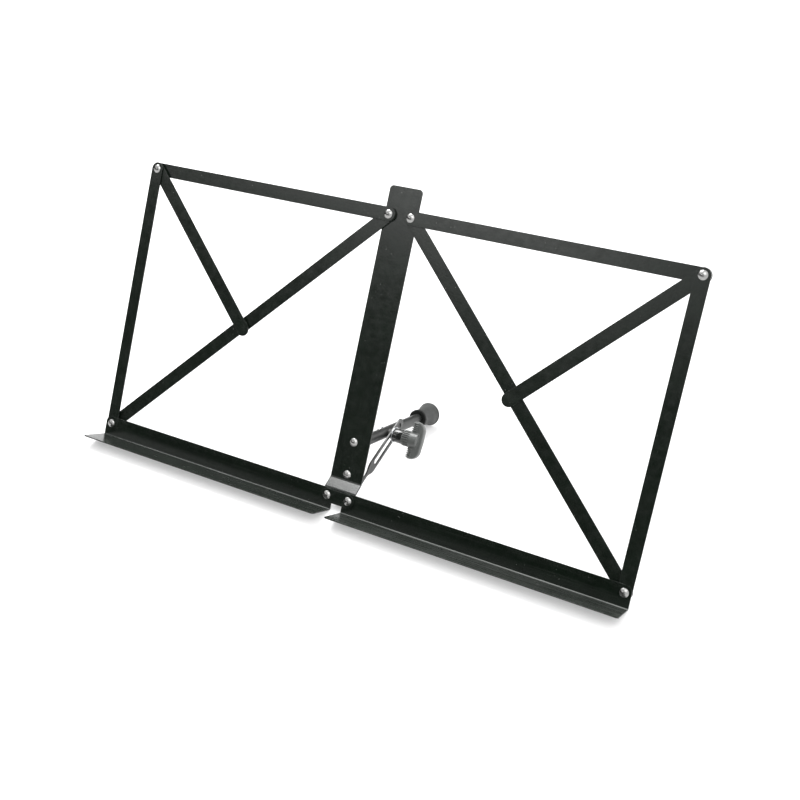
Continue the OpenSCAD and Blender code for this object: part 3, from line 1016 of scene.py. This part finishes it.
for side, sign in (("left", -1), ("right", 1)):
    side_place = DESK @ Matrix.Scale(sign, 4, RIGHT)
    for part, (start, end, holes) in BARS.items():
        part_low, part_high = extent("right_" + part, DESK)
        made = bar(start, end, part_low.z, part_high.z, holes)
        fitted(made, side_place, "semi-gloss paint", side + "_" + part, flats=True)
    fitted(ledge(), side_place, "ledge paint", side + "_ledge", flats=True)
    for part, place in (
        ("top_inner_rivet", TOP_INNER),
        ("top_outer_rivet", TOP_OUTER),
        ("ledge_inner_rivet", LEDGE_INNER),
        ("ledge_outer_rivet", LEDGE_OUTER),
    ):
        part_low, part_high = extent("right_" + part, DESK)
        made = rivet(part_low.z + TAIL_H, part_high.z - HEAD_H)
        moved(made, Matrix.Translation((place.x, place.y, 0)))
        fitted(made, side_place, "polished nickel", side + "_" + part)
    for part in ("middle_eyelet", "middle_tail"):
        part_low, part_high = extent("right_" + part, DESK)
        made = plug(SHANK_D, part_low.z, part_high.z)
        moved(made, Matrix.Translation((MIDDLE.x, MIDDLE.y, 0)))
        fitted(made, side_place, "polished nickel", side + "_" + part)
    for part, place in (
        ("top_spacer", TOP_OUTER),
        ("ledge_spacer", LEDGE_OUTER),
        ("middle_spacer", MIDDLE),
    ):
        part_low, part_high = extent("right_" + part, DESK)
        made = collar(part_high.x - part_low.x, SHANK_D, part_low.z, part_high.z)
        moved(made, Matrix.Translation((place.x, place.y, 0)))
        fitted(made, side_place, "matt nylon", side + "_" + part)

for part, place in (("leg_pivot_pin", LEG_PIN), ("strut_pivot_pin", STRUT_PIN)):
    part_low, part_high = extent(part, place)
    back = part_low.z + PIN_HEAD_H
    front = part_high.z - PIN_HEAD_H
    made = rivet(back, front, PIN_HEAD_D, PIN_HEAD_H, PIN_HEAD_D, PIN_HEAD_H)
    fitted(made, place, "polished nickel", part)

fitted(leg_tube(), LEG, "tube paint", "leg_tube")
foot_neck, foot_body = rubber_foot()
# the neck's darker rubber is painted shade at the collar
fitted(foot_neck, LEG, "black rubber", "rubber_foot", "foot_neck")
fitted(foot_body, LEG, "moulded rubber", "rubber_foot", "foot_body")
fitted(strut(), STRUT, "tube paint", "tilt_strut", flats=True)
fitted(clamp_bolt(), CLAMP, "bright zinc", "clamp_bolt")
_, spacer_high = extent("clamp_spacer", CLAMP)
clamp_spacer = collar(9.0, BOLT_D, 3.5, spacer_high.z, 0.3)
fitted(clamp_spacer, CLAMP, "matt nylon", "clamp_spacer")
washer_low, washer_high = extent("clamp_washer", CLAMP)
washer = collar(washer_high.x - washer_low.x, BOLT_D, washer_low.z, washer_high.z, 0.3)
fitted(washer, CLAMP, "bright zinc", "clamp_washer")
knob_low, _ = extent("wing_knob", CLAMP)
insert_low, insert_high = extent("knob_insert", CLAMP)
knob_collar = moved(collar(13.0, INSERT_D, 0.0, 9.3, 0.35), Matrix.Translation((0, 0, knob_low.z)))
fitted(knob_collar, CLAMP, "gloss plastic", "wing_knob", "knob_collar")
moulded_in_one(fitted(knob_grip(), CLAMP, "satin plastic", "wing_knob", "knob_grip"))
insert = collar(INSERT_D, BOLT_D + 0.1, insert_low.z, insert_high.z, 0.2)
fitted(insert, CLAMP, "turned brass", "knob_insert")


# ---- studio ----


def table_finish():
    """Pale laminate, which glows a little so that the stand's shadow stays soft."""
    material = bpy.data.materials.new("pale table")
    material.use_nodes = True
    tree = material.node_tree
    shader = tree.nodes["Principled BSDF"]
    shader.inputs["Roughness"].default_value = 0.7
    shader.inputs["Specular IOR Level"].default_value = 0.2
    shader.inputs["Emission Color"].default_value = (1, 1, 1, 1)
    shader.inputs["Emission Strength"].default_value = 0.35
    clouds = between(tree, noise(tree, 3, 3.0), 0.3, 0.7)
    toned = mixed(tree, clouds, (0.56, 0.56, 0.56, 1), (0.58, 0.58, 0.58, 1))
    tree.links.new(toned, shader.inputs["Base Color"])
    return material


def table():
    """A round pale table that the stand is on."""
    bm = bmesh.new()
    bmesh.ops.create_circle(bm, cap_ends=True, segments=96, radius=9.0)
    mesh = bpy.data.meshes.new("table")
    bm.to_mesh(mesh)
    bm.free()
    mesh.materials.append(table_finish())
    made = bpy.data.objects.new("table", mesh)
    bpy.context.scene.collection.objects.link(made)


def soft_light(name, toward, distance, size, radiance):
    """A square softbox that faces the stand from a direction."""
    light = bpy.data.lights.new(name, "AREA")
    light.shape = "SQUARE"
    light.size = size
    light.energy = radiance * math.pi * size * size
    made = bpy.data.objects.new(name, light)
    bpy.context.scene.collection.objects.link(made)
    direction = Vector(toward).normalized()
    made.location = Vector((0, 0, 0.1)) + direction * distance
    made.rotation_euler = direction.to_track_quat("Z", "Y").to_euler()


def surroundings():
    """A pale room that is dark near the horizon, and plain white where the camera sees it.

    Its limits are parts of the direction's x, y and z, which run from -1 to 1."""
    world = bpy.data.worlds.new("studio")
    bpy.context.scene.world = world
    world.use_nodes = True
    tree = world.node_tree
    background = tree.nodes["Background"]
    direction = node_in(tree, "TexCoord", {}).outputs["Generated"]
    facing = node_in(tree, "SeparateXYZ", {0: direction}).outputs
    above = between(tree, facing["Z"], 0.345, 0.44, 0.04, 1.7)

    # a darker band high in front, which the ledges mirror
    band = maths(
        tree,
        "MULTIPLY",
        between(tree, facing["Z"], 0.50, 0.57),
        between(tree, facing["Z"], 0.80, 0.70),
    )
    front = between(tree, facing["Y"], -0.25, -0.50, 0.0, 0.85)
    kept = maths(tree, "SUBTRACT", 1.0, maths(tree, "MULTIPLY", band, front))

    # darker low down towards the right, and brighter straight ahead
    low_right = maths(
        tree,
        "MULTIPLY",
        between(tree, facing["X"], -0.32, -0.20),
        between(tree, facing["Z"], 0.58, 0.50, 0.0, 0.75),
    )
    kept = maths(tree, "MULTIPLY", kept, maths(tree, "SUBTRACT", 1.0, low_right))
    kept = maths(tree, "MULTIPLY", kept, between(tree, facing["Y"], -0.45, -0.66, 1.0, 1.85))

    # a light wall on the right side
    beside = between(tree, facing["X"], -0.02, 0.3, 0.0, 1.5)
    glow = maths(tree, "MAXIMUM", maths(tree, "MULTIPLY", above, kept), beside)
    seen = node_in(tree, "LightPath", {}).outputs["Is Camera Ray"]
    plain = node_in(tree, "Mix", {0: seen, 2: glow, 3: 1.0}, data_type="FLOAT").outputs[0]
    background.inputs["Color"].default_value = (1, 1, 1, 1)
    tree.links.new(plain, background.inputs["Strength"])


def camera():
    data = bpy.data.cameras.new("camera")
    data.sensor_width = 36.0
    data.lens = 47.75
    data.clip_start = 0.01
    made = bpy.data.objects.new("camera", data)
    bpy.context.scene.collection.objects.link(made)
    made.location = (0.40739, -0.71252, 0.52621)
    made.rotation_euler = [math.radians(angle) for angle in (61.137, -0.752, 28.889)]
    bpy.context.scene.camera = made


table()
surroundings()
soft_light("overhead softbox", (-0.44, 0.26, 0.86), 2.0, 0.95, 14.5)
soft_light("front softbox", (0.35, -0.50, 0.79), 2.2, 1.4, 2.4)
camera()
bpy.context.scene.view_settings.view_transform = "Standard"
